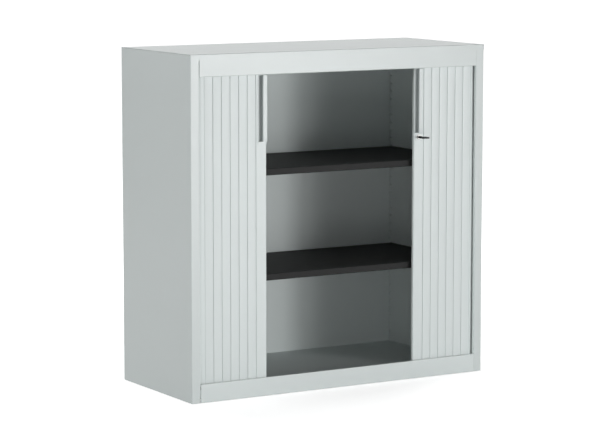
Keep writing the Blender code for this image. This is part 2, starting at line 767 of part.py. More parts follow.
# Leading stiles, handles and lock
def leading_stile(side, name, opened):
    """The door's leading bar, with a socket for the first slat and tongues in the tracks."""
    edge = opened - STILE_WIDTH
    section = [
        (across(side, opened), along(SLAT_BACKSET + STILE_ROUND)),
        (across(side, opened - STILE_ROUND), along(SLAT_BACKSET)),
        (across(side, edge + STILE_ROUND), along(SLAT_BACKSET)),
        (across(side, edge), along(SLAT_BACKSET + STILE_ROUND)),
    ]
    section += [(across(side, u), along(SLAT_BACKSET + v)) for u, v in socket_loop(edge, 1)]
    section += [
        (across(side, edge), along(STILE_REAR)),
        (across(side, opened - STILE_ROUND), along(STILE_REAR)),
        (across(side, opened), along(STILE_REAR - STILE_ROUND)),
    ]
    bar = extruded(name, [section], "Z", WALL_TOP + CLEAR, WALL_FOOT - CLEAR)
    inset = edge + 2 * bead_place()[0]
    across_bar = (inset, opened - 2 * STILE_ROUND)
    through_bar = (SLAT_BACKSET + FACE_OVERLAP / 2, SLAT_BACKSET + SLAT_THICK)
    foot = (SLAT_FOOT, WALL_TOP + 2 * OVERRUN)
    head = (WALL_FOOT - 2 * OVERRUN, SLAT_HEAD)
    for label, heights in (("foot", foot), ("head", head)):
        corners = box(side, across_bar, through_bar, heights)
        join(bar, block(f"{name}_{label}_tongue", *corners))
    return bar


def handle_left_edge(side):
    """The left edge of a pull: both doors have the same one, with its lip to the right."""
    if side == LEFT:
        return across(LEFT, LEFT_OPEN - HANDLE_WIDTH)
    return across(RIGHT, RIGHT_OPEN)


def handle_foot(side):
    """The pull's lower end: on the right door it reaches down round the lock."""
    if side == LEFT:
        return HANDLE_FOOT_Z - HANDLE_MARGIN
    return LOCK_Z - LOCK_FLANGE_RADIUS - HANDLE_MARGIN / 2


def pull_handle(side, name):
    """A moulded pull: a thin flange, a finger recess sunk in the stile and a lip standing proud of it."""
    x = handle_left_edge(side)
    face = along(SLAT_BACKSET - CLEAR)
    front = face - HANDLE_FLANGE
    floor = along(SLAT_BACKSET + HANDLE_DEEP)
    flange = block(name, (x, front, handle_foot(side)), (x + HANDLE_WIDTH, face, HANDLE_HEAD))
    pocket_low, pocket_high = handle_pocket(side)
    body = block(name + "_body", pocket_low, pocket_high)
    lip_low = (x + HANDLE_WALL + HANDLE_RECESS, along(SLAT_BACKSET - LIP_PROUD), HANDLE_FOOT_Z)
    lip_high = (x + HANDLE_WIDTH - FACE_OVERLAP / 2, face - HANDLE_FLANGE / 2, HANDLE_HEAD - CLEAR)
    lip = block(name + "_lip", lip_low, lip_high)
    soften = lip.modifiers.new("round", "BEVEL")
    soften.width = LIP_ROUND
    soften.segments = 2
    hollow = block(name + "_hollow", (x + HANDLE_WALL, front - OVERRUN, HANDLE_FOOT_Z),
                   (x + HANDLE_WALL + HANDLE_RECESS, floor, HANDLE_HEAD - HANDLE_FLOOR))
    join(flange, body, lip)
    cut(flange, hollow)
    return flange


def handle_pocket(side):
    """The space that the pull's body fills in the stile."""
    x = handle_left_edge(side)
    deep = SLAT_BACKSET + HANDLE_DEEP + HANDLE_FLOOR
    shallow = SLAT_BACKSET - CLEAR - HANDLE_FLANGE / 2
    low = (x + FACE_OVERLAP, along(shallow), HANDLE_FOOT_Z - HANDLE_FLOOR)
    high = (x + HANDLE_RECESS + 2 * HANDLE_WALL, along(deep), HANDLE_HEAD - CLEAR)
    return low, high


def pocket_cutter(side, name):
    """The pull's body with its clearance all round, open to the stile's face."""
    low, high = handle_pocket(side)
    gap = Vector((CLEAR, CLEAR, CLEAR))
    return block(name, Vector(low) - gap, Vector(high) + gap)


def lock_axis():
    return across(RIGHT, RIGHT_OPEN) + LOCK_INSET


def lock_housing():
    """The lock's fixed shell: a rosette in front of the pull's flange and a barrel through the stile."""
    x = lock_axis()
    front = along(KEY_FACE + PLUG_PROUD)
    seat = front + LOCK_FLANGE
    rear = along(STILE_REAR + CLEAR)
    shell = rod("lock_housing", LOCK_FLANGE_RADIUS, (x, front, LOCK_Z), (x, seat, LOCK_Z), 32)
    barrel_front = seat - LOCK_FLANGE / 2
    barrel = rod("lock_barrel", LOCK_BARREL_RADIUS, (x, barrel_front, LOCK_Z), (x, rear, LOCK_Z), 24)
    bore_ends = ((x, front - OVERRUN, LOCK_Z), (x, rear + OVERRUN, LOCK_Z))
    join(shell, barrel)
    cut(shell, rod("lock_bore", PLUG_RADIUS + CLEAR, *bore_ends, 24))
    return finish(smooth(shell), "plated_steel")


def lock_plug():
    """The turning core, with its keyhole in front and a tenon for the cam behind."""
    x = lock_axis()
    front = along(KEY_FACE)
    rear = along(CAM_PLANE - CLEAR)
    core = rod("lock_plug", PLUG_RADIUS, (x, front, LOCK_Z), (x, rear, LOCK_Z), 24)
    end = rear + 2 * CLEAR + CAM_THICK
    join(core, rod("lock_tenon", TENON_RADIUS, (x, rear - OVERRUN / 2, LOCK_Z), (x, end, LOCK_Z), 4))
    half_width = KEY_BLADE_WIDTH / 2 + CLEAR
    half_thick = KEY_BLADE_THICK / 2 + CLEAR
    cut(core, block("keyhole", (x - half_width, front - OVERRUN, LOCK_Z - half_thick),
                    (x + half_width, front + KEYHOLE_DEEP, LOCK_Z + half_thick)))
    return finish(smooth(core), "plated_steel")


def lock_cam():
    """A hooked cam on the tenon: it hangs down when unlocked and turns towards the other door."""
    x = lock_axis()
    low = along(CAM_PLANE)
    high = low + CAM_THICK
    half = CAM_WIDTH / 2
    post = cam_post_radius()
    outline = arc((x, LOCK_Z), half, 0, 180, 8)
    outline += [
        (x - half, LOCK_Z - post + CAM_NOTCH / 2),
        (x - half + CAM_NOTCH_DEEP, LOCK_Z - post + CAM_NOTCH / 2),
        (x - half + CAM_NOTCH_DEEP, LOCK_Z - post - CAM_NOTCH / 2),
        (x - half, LOCK_Z - post - CAM_NOTCH / 2),
        (x - half, LOCK_Z - CAM_REACH),
        (x + half, LOCK_Z - CAM_REACH),
    ]
    blade = extruded("lock_cam", [outline], "Y", low, high)
    hole_ends = ((x, low - OVERRUN, LOCK_Z), (x, high + OVERRUN, LOCK_Z))
    cut(blade, rod("cam_hole", TENON_RADIUS + TENON_CLEAR, *hole_ends, 4))
    return finish(blade, "plated_steel")


def cam_post_radius():
    """How far from the lock's axis the keeper's post stands when the doors meet."""
    return CAM_REACH - CAM_NOTCH


def keeper_plate():
    """The keeper on the back of the left stile, with the post that the cam hooks round."""
    travel = WIDTH / 2 - LEFT_OPEN - MEETING_GAP / 2
    axis_when_closed = MEETING_GAP / 2 + LOCK_INSET
    post_x = axis_when_closed - cam_post_radius() - travel
    post_z = LOCK_Z + CAM_WIDTH / 2 - CAM_NOTCH_DEEP + CLEAR + KEEPER_POST / 2
    edge = across(LEFT, LEFT_OPEN) - STILE_ROUND - CLEAR
    low = along(STILE_REAR + CLEAR)
    plate_top = post_z + KEEPER_POST / 2 + KEEPER_HEIGHT
    plate = block("keeper_plate", (edge - KEEPER_WIDTH, low, post_z - KEEPER_POST),
                  (edge, low + KEEPER_PLATE, plate_top))
    half = KEEPER_POST / 2
    post = block("keeper_post", (post_x - half, low + KEEPER_PLATE / 2, post_z - half),
                 (post_x + half, low + KEEPER_PLATE + CAM_THICK + 4 * CLEAR, post_z + half))
    return finish(join(plate, post), "plated_steel")


def key():
    """The key: a blade in the plug, a short collar and a flat plastic bow with a ring hole."""
    x = lock_axis()
    face = along(KEY_FACE - CLEAR)
    bow_start = face - KEY_COLLAR_LENGTH
    bow_end = bow_start - KEY_BOW_LENGTH
    half = KEY_BOW_WIDTH / 2
    corner = half * KEY_CORNER_SHARE
    neck = half * KEY_NECK_SHARE
    shoulder = bow_start - half * KEY_SHOULDER_SHARE
    outline = [(x - neck, bow_start + FACE_OVERLAP)]
    outline += arc((x - half + corner, shoulder), corner, 90, 180, 4)
    outline += arc((x - half + corner, bow_end + corner), corner, 180, 270, 5)
    outline += arc((x + half - corner, bow_end + corner), corner, 270, 360, 5)
    outline += arc((x + half - corner, shoulder), corner, 0, 90, 4)
    outline.append((x + neck, bow_start + FACE_OVERLAP))
    ring = arc((x, bow_end + half * KEY_RING_SHARE), KEY_BOW_HOLE, 0, 330, 11)
    half_thick = KEY_BOW_THICK / 2
    bow = extruded("key", [outline, ring], "Z", LOCK_Z - half_thick, LOCK_Z + half_thick)
    collar_ends = ((x, face, LOCK_Z), (x, bow_start - corner / 2, LOCK_Z))
    join(bow, rod("key_collar", KEY_COLLAR_RADIUS, *collar_ends, 16))
    blade = block("key_blade", (x - KEY_BLADE_WIDTH / 2, bow_start, LOCK_Z - KEY_BLADE_THICK / 2),
                  (x + KEY_BLADE_WIDTH / 2, face + KEYHOLE_DEEP - CLEAR, LOCK_Z + KEY_BLADE_THICK / 2))
    join(bow, blade)
    return finish(bow, "black_plastic")


def ride(name, place, pieces):
    """Hangs moving pieces on an empty that stands on their joint's axis."""
    axis = bpy.data.objects.new(name, None)
    axis.location = place
    PARTS.objects.link(axis)
    for piece in pieces:
        piece.parent = axis
        piece.matrix_parent_inverse = Matrix.Translation(place).inverted()
    return axis


# The whole cabinet
side_panel(LEFT, "left_side_panel")
side_panel(RIGHT, "right_side_panel")
top_panel()
bottom_front_rail()
base_panel()
back_panel()
for side, label in ((LEFT, "left"), (RIGHT, "right")):
    lining(side, f"{label}_lining")
    track(side, f"{label}_bottom_track", FLOOR_TOP + CLEAR, WALL_TOP)
    track(side, f"{label}_top_track", TRACK_CEILING, WALL_FOOT)
    track_stop(side, f"{label}_track_stop")
    curtain_tail(side, f"{label}_curtain_tail")
for label, top in zip(("lower", "upper"), SHELF_TOPS):
    shelf(f"shelf_{label}", top)
    for side, hand in ((LEFT, "left"), (RIGHT, "right")):
        for end, distance in zip(("front", "rear"), slot_columns()):
            shelf_clip(f"clip_{label}_{end}_{hand}", side, distance, top)
for label, x, y in foot_places():
    foot_bracket(f"foot_bracket_{label}", x, y)
    levelling_foot(f"levelling_foot_{label}", x, y)

for side, label, opened in ((LEFT, "left", LEFT_OPEN), (RIGHT, "right", RIGHT_OPEN)):
    stile = leading_stile(side, f"{label}_leading_stile", opened)
    pull = pull_handle(side, f"{label}_handle")
    cut(stile, pocket_cutter(side, f"{label}_pocket"))
    pieces = [stile, pull]
    if side == RIGHT:
        x = lock_axis()
        start, end = along(0), along(STILE_REAR + OVERRUN)
        for target in (stile, pull):
            hole_ends = ((x, start, LOCK_Z), (x, end, LOCK_Z))
            cut(target, rod(target.name + "_lock_hole", LOCK_BARREL_RADIUS + CLEAR, *hole_ends, 24))
        pieces.append(lock_housing())
    else:
        pieces.append(keeper_plate())
    finish(stile, "slat_plastic")
    finish(pull, "handle_plastic")
    for k in range(SLAT_COUNT):
        outer_edge = opened - STILE_WIDTH - (k + 1) * PITCH
        pieces.append(slat(side, f"{label}_slat_{k + 1}", outer_edge))
    ride(f"{label}_door", (across(side, opened), along(SLAT_BACKSET), 0), pieces)

lock_place = (lock_axis(), along(SLAT_BACKSET), LOCK_Z)
ride("lock_turn", lock_place, [lock_plug(), lock_cam()])
ride("key_draw", lock_place, [key()])
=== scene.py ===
import bmesh
import bpy
import json
import math
import numpy as np
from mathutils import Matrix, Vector
from mathutils.geometry import tessellate_polygon


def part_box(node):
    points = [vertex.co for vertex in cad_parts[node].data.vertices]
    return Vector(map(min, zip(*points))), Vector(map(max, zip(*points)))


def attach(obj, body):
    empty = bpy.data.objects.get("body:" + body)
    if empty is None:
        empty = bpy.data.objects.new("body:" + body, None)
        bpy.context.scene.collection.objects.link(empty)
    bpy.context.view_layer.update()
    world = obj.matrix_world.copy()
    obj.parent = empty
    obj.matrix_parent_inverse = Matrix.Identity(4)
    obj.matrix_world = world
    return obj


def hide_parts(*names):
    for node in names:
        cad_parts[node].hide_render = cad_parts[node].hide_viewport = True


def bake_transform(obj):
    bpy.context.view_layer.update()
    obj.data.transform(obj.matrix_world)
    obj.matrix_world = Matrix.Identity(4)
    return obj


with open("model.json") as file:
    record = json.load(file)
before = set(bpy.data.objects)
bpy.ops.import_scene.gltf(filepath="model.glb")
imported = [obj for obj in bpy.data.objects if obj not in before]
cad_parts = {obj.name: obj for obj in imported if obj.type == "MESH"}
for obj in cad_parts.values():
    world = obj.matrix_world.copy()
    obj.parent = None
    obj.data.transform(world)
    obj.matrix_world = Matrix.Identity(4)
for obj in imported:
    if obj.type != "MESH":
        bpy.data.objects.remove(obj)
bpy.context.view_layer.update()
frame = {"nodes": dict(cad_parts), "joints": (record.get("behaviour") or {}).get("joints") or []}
nodes = frame["nodes"]


# Outer sheets: both sides, the top with its fascia and the bottom rail.
# They are folded from 1 mm sheet steel and hang on each other by hidden flanges.
# The finish is a light grey powder coat, satin, with a very fine grain.
OUTER_PAINT = (0.672, 0.723, 0.716, 1)
# The bottom rail has the outer coat painted lighter, as painted light for the low front that gets
# less light.
RAIL_PAINT_WITH_PAINTED_LIGHT = (0.722, 0.776, 0.769, 1)
OUTER_ROUGHNESS = 0.34
BLOTCH_SHARE = 0.35


def new_group(name, inputs, outputs):
    """An empty shader node group with named sockets; each is (name, kind, value)."""
    tree = bpy.data.node_groups.new(name, "ShaderNodeTree")
    for label, kind, value in inputs:
        socket = tree.interface.new_socket(name=label, in_out="INPUT", socket_type=kind)
        socket.default_value = value
    for label, kind in outputs:
        tree.interface.new_socket(name=label, in_out="OUTPUT", socket_type=kind)
    return tree, tree.nodes.new("NodeGroupInput"), tree.nodes.new("NodeGroupOutput")


def noise_on(tree, place, scale, detail, roughness=0.5):
    """A noise texture on a place socket; its scale is a number or a socket."""
    noise = tree.nodes.new("ShaderNodeTexNoise")
    noise.inputs["Detail"].default_value = detail
    noise.inputs["Roughness"].default_value = roughness
    tree.links.new(place, noise.inputs["Vector"])
    if isinstance(scale, (int, float)):
        noise.inputs["Scale"].default_value = scale
    else:
        tree.links.new(scale, noise.inputs["Scale"])
    return noise.outputs["Fac"]


def maths(tree, operation, *values):
    """A math node whose inputs are numbers or sockets."""
    node = tree.nodes.new("ShaderNodeMath")
    node.operation = operation
    for k, value in enumerate(values):
        if isinstance(value, (int, float)):
            node.inputs[k].default_value = value
        else:
            tree.links.new(value, node.inputs[k])
    return node.outputs[0]


def grain_group():
    """Grain of a paint or a moulded surface: a colour that drifts a little, a roughness that
    drifts with it, and a normal from two sizes of bumps."""
    tree, given, result = new_group(
        "surface_grain",
        [("Colour", "NodeSocketColor", (0.7, 0.7, 0.7, 1)),
         ("Grain scale", "NodeSocketFloat", 900.0),
         ("Grain depth", "NodeSocketFloat", 0.00002),
         ("Colour drift", "NodeSocketFloat", 0.03),
         ("Roughness", "NodeSocketFloat", 0.42),
         ("Roughness drift", "NodeSocketFloat", 0.06)],
        [("Colour", "NodeSocketColor"), ("Roughness", "NodeSocketFloat"),
         ("Normal", "NodeSocketVector")])
    place = tree.nodes.new("ShaderNodeTexCoord").outputs["Object"]
    drift = maths(tree, "SUBTRACT", noise_on(tree, place, scale=3.1, detail=3), 0.5)
    blotch = maths(tree, "SUBTRACT", noise_on(tree, place, scale=46.0, detail=2), 0.5)
    spots = maths(tree, "MULTIPLY", blotch, BLOTCH_SHARE)
    shade = maths(tree, "MULTIPLY", maths(tree, "ADD", drift, spots), given.outputs["Colour drift"])
    scaled = tree.nodes.new("ShaderNodeVectorMath")
    scaled.operation = "SCALE"
    tree.links.new(given.outputs["Colour"], scaled.inputs[0])
    tree.links.new(maths(tree, "ADD", shade, 1.0), scaled.inputs["Scale"])
    tree.links.new(scaled.outputs[0], result.inputs["Colour"])
    rough = maths(tree, "MULTIPLY", blotch, given.outputs["Roughness drift"])
    rough = maths(tree, "ADD", rough, given.outputs["Roughness"])
    tree.links.new(rough, result.inputs["Roughness"])
    fine = noise_on(tree, place, given.outputs["Grain scale"], detail=2, roughness=0.6)
    bump = tree.nodes.new("ShaderNodeBump")
    tree.links.new(given.outputs["Grain depth"], bump.inputs["Distance"])
    tree.links.new(fine, bump.inputs["Height"])
    tree.links.new(bump.outputs[0], result.inputs["Normal"])
    return tree


GRAIN = grain_group()


def grained(name, colour, roughness, scale=900.0, depth=0.00002, drift=0.03, metallic=0.0,
            gloss=0.5):
    """A material whose colour, roughness and normal come from the grain group."""
    made = bpy.data.materials.new(name)
    made.use_nodes = True
    tree = made.node_tree
    shader = tree.nodes["Principled BSDF"]
    shader.inputs["Metallic"].default_value = metallic
    shader.inputs["Specular IOR Level"].default_value = gloss
    grain = tree.nodes.new("ShaderNodeGroup")
    grain.node_tree = GRAIN
    grain.inputs["Colour"].default_value = colour
    grain.inputs["Grain scale"].default_value = scale
    grain.inputs["Grain depth"].default_value = depth
    grain.inputs["Colour drift"].default_value = drift
    grain.inputs["Roughness"].default_value = roughness
    tree.links.new(grain.outputs["Colour"], shader.inputs["Base Color"])
    tree.links.new(grain.outputs["Roughness"], shader.inputs["Roughness"])
    tree.links.new(grain.outputs["Normal"], shader.inputs["Normal"])
    return made


def finish_node(name, material):
    """Gives a CAD node its finished material."""
    obj = nodes[name]
    if not obj.material_slots:
        obj.data.materials.append(material)
    for held in obj.material_slots:
        held.material = material


outer_coat = grained("outer_powder_coat", OUTER_PAINT, OUTER_ROUGHNESS)
for name in ("left_side_panel", "right_side_panel", "top_panel"):
    finish_node(name, outer_coat)
# The rail's lighter copy of the outer coat is painted light.
rail_coat_with_painted_light = grained("rail_powder_coat_painted_light", RAIL_PAINT_WITH_PAINTED_LIGHT, OUTER_ROUGHNESS)
finish_node("bottom_front_rail", rail_coat_with_painted_light)


# Inner sheets: the floor, the back and the two slotted linings.
# The same steel as outside in a duller coat, a shade lighter on the linings.
INNER_PAINT = (0.640, 0.690, 0.684, 1)
LINING_PAINT = (0.690, 0.742, 0.735, 1)
inner_coat = grained("inner_powder_coat", INNER_PAINT, 0.58, scale=1100.0, gloss=0.35)
for name in ("base_panel", "back_panel"):
    finish_node(name, inner_coat)
lining_coat = grained("lining_powder_coat", LINING_PAINT, 0.52, scale=1100.0, gloss=0.4)
for side in ("left", "right"):
    finish_node(f"{side}_lining", lining_coat)


# Tracks and their stops: grooved runners that guide the curtains along the front,
# round the corner and back along the side. They are moulded in a slippery grey plastic,
# and a rubber block ends each bottom groove.
track_grey = grained("track_plastic", (0.10, 0.105, 0.105, 1), 0.38, scale=500.0, depth=0.00001)
stop_rubber = grained("stop_rubber", (0.018, 0.018, 0.018, 1), 0.8, scale=700.0, depth=0.00004)
for side in ("left", "right"):
    finish_node(f"{side}_bottom_track", track_grey)
    finish_node(f"{side}_top_track", track_grey)
    finish_node(f"{side}_track_stop", stop_rubber)


# Shelves and clips: two folded trays in a black coat, each on four clips of zinc-plated
# strip whose hooks hang in the linings' slots.
SHELF_PAINT = (0.0032, 0.0036, 0.0035, 1)
ZINC_GREY = (0.58, 0.60, 0.62, 1)
# The shelves' black coat also dresses the slot shade strips, where it is painted shade.
shelf_black_and_slot_shade = grained("shelf_black_coat", SHELF_PAINT, 0.62, scale=1000.0, drift=0.08, gloss=0.31)
zinc = grained("zinc_plate", ZINC_GREY, 0.34, scale=240.0, depth=0.000006, drift=0.16,
               metallic=1.0)
for level in ("lower", "upper"):
    finish_node(f"shelf_{level}", shelf_black_and_slot_shade)
    for end in ("front", "rear"):
        for side in ("left", "right"):
            finish_node(f"clip_{level}_{end}_{side}", zinc)


# Levelling feet: black moulded pads with a hexagon to turn them by, screwed into plated
# brackets under the floor's corners.
foot_black = grained("foot_plastic", (0.015, 0.015, 0.016, 1), 0.42, scale=600.0, depth=0.00003)
for end in ("front", "rear"):
    for side in ("left", "right"):
        finish_node(f"foot_bracket_{end}_{side}", zinc)
        finish_node(f"levelling_foot_{end}_{side}", foot_black)


# Curtain slats: hollow strips of light grey plastic, 28 mm apart and 7 mm thick.
# A round bead along one edge hooks into the next slat's socket, so the curtain bends,
# and each front edge is rounded, which leaves a fine groove at each joint.
SLAT_PITCH = 0.028
SLAT_GAP = 0.0008
SLAT_THICK = 0.007
SLAT_WALL = 0.0012
SLAT_ROUND = 0.0011
BEAD_RADIUS = 0.0013
BEAD_NECK = 0.0005
BEAD_CLEAR = 0.0003
BEAD_REACH = BEAD_RADIUS + BEAD_CLEAR + SLAT_WALL + SLAT_GAP
BEAD_DEPTH = SLAT_THICK - SLAT_WALL - BEAD_RADIUS - BEAD_CLEAR
SLAT_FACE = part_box("left_slat_1")[0].y
SLAT_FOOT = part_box("left_slat_1")[0].z
SLAT_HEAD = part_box("left_slat_1")[1].z
HALF_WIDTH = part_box("right_side_panel")[1].x
BEAD_STEPS = 14
FACE_STEPS = 5
BACK_STEPS = 2
MERGE_WITHIN = 0.000002
SHARP_FROM = 38
SLAT_COLOUR = (0.735, 0.790, 0.784, 1)
slat_grey = grained("slat_plastic", SLAT_COLOUR, 0.40, scale=700.0, depth=0.000012, drift=0.02)


def turn_round(centre, radius, start, end, steps):
    """Points on a circle from one angle to another, in degrees."""
    turn = np.radians(np.linspace(start, end, steps + 1))
    return np.stack([centre[0] + radius * np.cos(turn), centre[1] + radius * np.sin(turn)], 1)


def slat_section():
    """A slat's outline and its hollow as points (across, deep): the bead edge stands at 0
    and the socket edge at the pitch less the gap. A positive depth is towards the back."""
    right = SLAT_PITCH - SLAT_GAP
    lean = math.degrees(math.asin(BEAD_NECK / BEAD_RADIUS))
    wide = math.degrees(math.asin((BEAD_NECK + BEAD_CLEAR) / (BEAD_RADIUS + BEAD_CLEAR)))
    bead = turn_round((-BEAD_REACH, BEAD_DEPTH), BEAD_RADIUS, lean, 360 - lean, BEAD_STEPS)
    socket = turn_round((BEAD_REACH - SLAT_GAP, BEAD_DEPTH), BEAD_RADIUS + BEAD_CLEAR,
                        180 + wide, 540 - wide, BEAD_STEPS) * (-1, 1) + (right, 0)
    outline = np.concatenate([
        [(0, BEAD_DEPTH + BEAD_NECK)], bead, [(0, BEAD_DEPTH - BEAD_NECK)],
        turn_round((SLAT_ROUND, SLAT_ROUND), SLAT_ROUND, 180, 270, FACE_STEPS),
        turn_round((right - SLAT_ROUND, SLAT_ROUND), SLAT_ROUND, 270, 360, FACE_STEPS),
        [(right, BEAD_DEPTH - BEAD_NECK - BEAD_CLEAR)], socket,
        [(right, BEAD_DEPTH + BEAD_NECK + BEAD_CLEAR)],
        turn_round((right - SLAT_ROUND, SLAT_THICK - SLAT_ROUND), SLAT_ROUND, 0, 90, BACK_STEPS),
        turn_round((SLAT_ROUND, SLAT_THICK - SLAT_ROUND), SLAT_ROUND, 90, 180, BACK_STEPS)])
    start, end = SLAT_WALL * 2, right - BEAD_REACH * 2
    hollow = np.array([(start, SLAT_WALL), (end, SLAT_WALL), (end, SLAT_THICK - SLAT_WALL),
                       (start, SLAT_THICK - SLAT_WALL)])
    return [outline, hollow]


def drawn_out(loops, heights):
    """Vertices and faces of a closed section drawn out through a row of heights: every loop
    gives one wall of quads, and both ends are filled between the loops."""
    levels = len(heights)
    flat = np.concatenate(loops)
    count = len(flat)
    verts = np.concatenate([np.column_stack([flat, np.full(count, z)]) for z in heights])
    faces = []
    first = 0
    for loop in loops:
        here = first + np.arange(len(loop))
        onward = first + np.roll(np.arange(len(loop)), -1)
        for level in range(levels - 1):
            low, high = level * count, (level + 1) * count
            faces += np.stack([here + low, onward + low, onward + high, here + high], 1).tolist()
        first += len(loop)
    cap = tessellate_polygon([[Vector((u, v, 0)) for u, v in loop] for loop in loops])
    top = (levels - 1) * count
    faces += [list(face) for face in cap] + [[k + top for k in face[::-1]] for face in cap]
    return verts, faces


def new_piece(name, verts, faces, material, smooth=True, merge=True):
    """A mesh object with its faces turned outward and its true edges kept sharp."""
    mesh = bpy.data.meshes.new(name)
    mesh.from_pydata(np.asarray(verts, float).tolist(), [], [list(map(int, f)) for f in faces])
    obj = bpy.data.objects.new(name, mesh)
    bpy.context.scene.collection.objects.link(obj)
    outward(mesh, merge)
    mesh.materials.append(material)
    if smooth:
        mesh.shade_smooth()
        mesh.set_sharp_from_angle(angle=math.radians(SHARP_FROM))
    return obj


def outward(mesh, merge=True):
    """Turns every face of a closed mesh outward, with doubles merged first if asked for."""
    made = bmesh.new()
    made.from_mesh(mesh)
    if merge:
        bmesh.ops.remove_doubles(made, verts=made.verts, dist=MERGE_WITHIN)
    bmesh.ops.recalc_face_normals(made, faces=made.faces)
    if made.calc_volume(signed=True) < 0:
        bmesh.ops.reverse_faces(made, faces=made.faces)
    made.to_mesh(mesh)
    made.free()


def across(side, inset):
    """The x of a place this far in from a side of the cabinet."""
    return (inset - HALF_WIDTH) if side == "left" else (HALF_WIDTH - inset)


SECTION = slat_section()
BEAD_EDGE = {}
for side in ("left", "right"):
    for k in range(1, 7):
        name = f"{side}_slat_{k}"
        low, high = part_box(name)
        # The bead edge is the outer one, a bead's reach inside the node's box.
        outer = HALF_WIDTH + low.x if side == "left" else HALF_WIDTH - high.x
        BEAD_EDGE[side] = outer + BEAD_REACH + BEAD_RADIUS
        loops = [np.column_stack([across(side, BEAD_EDGE[side] + loop[:, 0]),
                                  SLAT_FACE + loop[:, 1]]) for loop in SECTION]
        slat = new_piece(name + "_fine", *drawn_out(loops, [SLAT_FOOT, SLAT_HEAD]), slat_grey)
        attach(slat, f"{side}_door")
        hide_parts(name)
    finish_node(f"{side}_leading_stile", slat_grey)


# The rest of each curtain: fourteen more slats that wait behind the stile, round the bend
# and along the side, each hooked to the one before it.
TAIL_COUNT = 14
BEND_RADIUS = 0.030
BEND_INSET = 0.042
BEND_PLACE = SLAT_FACE + SLAT_THICK / 2 + BEND_RADIUS
BEND_STEP = 0.0015


def on_path(side, length, inward):
    """The plan point at a length along the hidden run and a depth behind the slats' face: a
    straight lead, a quarter circle, then a straight run to the back. Whole arrays at once."""
    lead = BEAD_EDGE[side] - BEND_INSET
    radius = BEND_RADIUS + SLAT_THICK / 2 - inward
    turn = np.clip((length - lead) / BEND_RADIUS, 0, math.pi / 2)
    before = np.minimum(length - lead, 0)
    after = np.maximum(length - lead - BEND_RADIUS * math.pi / 2, 0)
    inset = BEND_INSET - before - radius * np.sin(turn)
    return np.column_stack([across(side, inset), BEND_PLACE - radius * np.cos(turn) + after])


def close_points(loop, step):
    """A closed loop with extra points wherever two of its points are further apart than a step."""
    onward = np.roll(loop, -1, axis=0)
    parts = np.maximum(np.ceil(np.linalg.norm(onward - loop, axis=1) / step).astype(int), 1)
    return np.concatenate([a + (b - a) * np.linspace(0, 1, n, endpoint=False)[:, None]
                           for a, b, n in zip(loop, onward, parts)])


for side in ("left", "right"):
    verts, faces, count = [], [], 0
    for k in range(TAIL_COUNT):
        # Along the path a slat's socket edge comes first, a gap after the slat before it.
        start = SLAT_PITCH * (k + 1)
        loops = [on_path(side, start - loop[:, 0], loop[:, 1])
                 for loop in (close_points(part, BEND_STEP) for part in SECTION)]
        some_verts, some_faces = drawn_out(loops, [SLAT_FOOT, SLAT_HEAD])
        verts.append(some_verts)
        faces += [[point + count for point in face] for face in some_faces]
        count += len(some_verts)
    tail = new_piece(f"{side}_curtain_tail_fine", np.concatenate(verts), faces, slat_grey)
    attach(tail, "carcass")
    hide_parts(f"{side}_curtain_tail")


# The part of each curtain that comes out of the bend as a door closes. With the doors open
# it lies folded away inside the first hidden slat, and it draws out to full slats between
# the stile and the door's last slat.
TRAVEL = {joint["child"]: joint["range_m"][1] for joint in frame["joints"]
          if joint["child"].endswith("_door")}
FOLD_START = {"left": 0.041, "right": 0.0335}
SKIN = 0.0004
DRAWN_BACK = 0.0064
GROOVE_HALF = SLAT_GAP / 2
GROOVE_DEEP = 0.0032
DRAWN_JOINTS = 10
END_MARGIN = 0.0002
HALVINGS = 50


def folded_place(place, start, length, travel):
    """Where points of the closed curtain lie at rest: the inverse, by halving, of the rise
    place = rest + travel * (3 t^2 - 2 t^3), in which t = (rest - start) / length."""
    low, high = np.full(len(place), start), np.full(len(place), start + length)
    for _ in range(HALVINGS):
        middle = (low + high) / 2
        t = (middle - start) / length
        short = middle + travel * t * t * (3 - 2 * t) < place
        low, high = np.where(short, middle, low), np.where(short, high, middle)
    return (low + high) / 2


for side in ("left", "right"):
    travel = TRAVEL[f"{side}_door"]
    start, edge = FOLD_START[side], BEAD_EDGE[side]
    closed_edge = edge + travel
    # Samples across each slat and down into the groove between it and the next.
    rim = GROOVE_HALF + SLAT_ROUND * (1 - np.cos(np.radians(np.arange(0, 91, 15))))
    offsets = np.concatenate([[-GROOVE_HALF, GROOVE_HALF], rim, -rim])
    joints = closed_edge - GROOVE_HALF - SLAT_PITCH * np.arange(DRAWN_JOINTS)
    middles = joints - SLAT_PITCH / 2
    place = np.concatenate([(joints[:, None] + offsets).ravel(), joints, middles])
    place = np.unique(np.round(place, 7))
    between = (place > start + END_MARGIN) & (place < closed_edge - END_MARGIN)
    place = np.concatenate([[start], place[between], [closed_edge]])
    nearest = np.abs(place[:, None] - joints).min(1)
    into = np.clip((GROOVE_HALF + SLAT_ROUND - nearest) / SLAT_ROUND, 0, 1)
    rounding = SLAT_ROUND * (1 - np.sqrt(1 - into ** 2))
    sunk = np.where(nearest < GROOVE_HALF * 0.9, GROOVE_DEEP, rounding)
    rest = folded_place(place, start, edge - start, travel)
    radius = BEND_RADIUS + SLAT_THICK / 2
    bowed = radius - np.sqrt(radius ** 2 - np.maximum(BEND_INSET - rest, 0) ** 2)
    front = np.column_stack([across(side, rest), SLAT_FACE + SKIN + bowed + sunk])
    back = np.column_stack([across(side, rest), SLAT_FACE + DRAWN_BACK + bowed])
    verts, faces = drawn_out([np.concatenate([front, back[::-1]])], [SLAT_FOOT, SLAT_HEAD])
    strip = new_piece(f"{side}_curtain_drawn_out", verts, faces, slat_grey, smooth=False,
                      merge=False)
    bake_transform(strip)


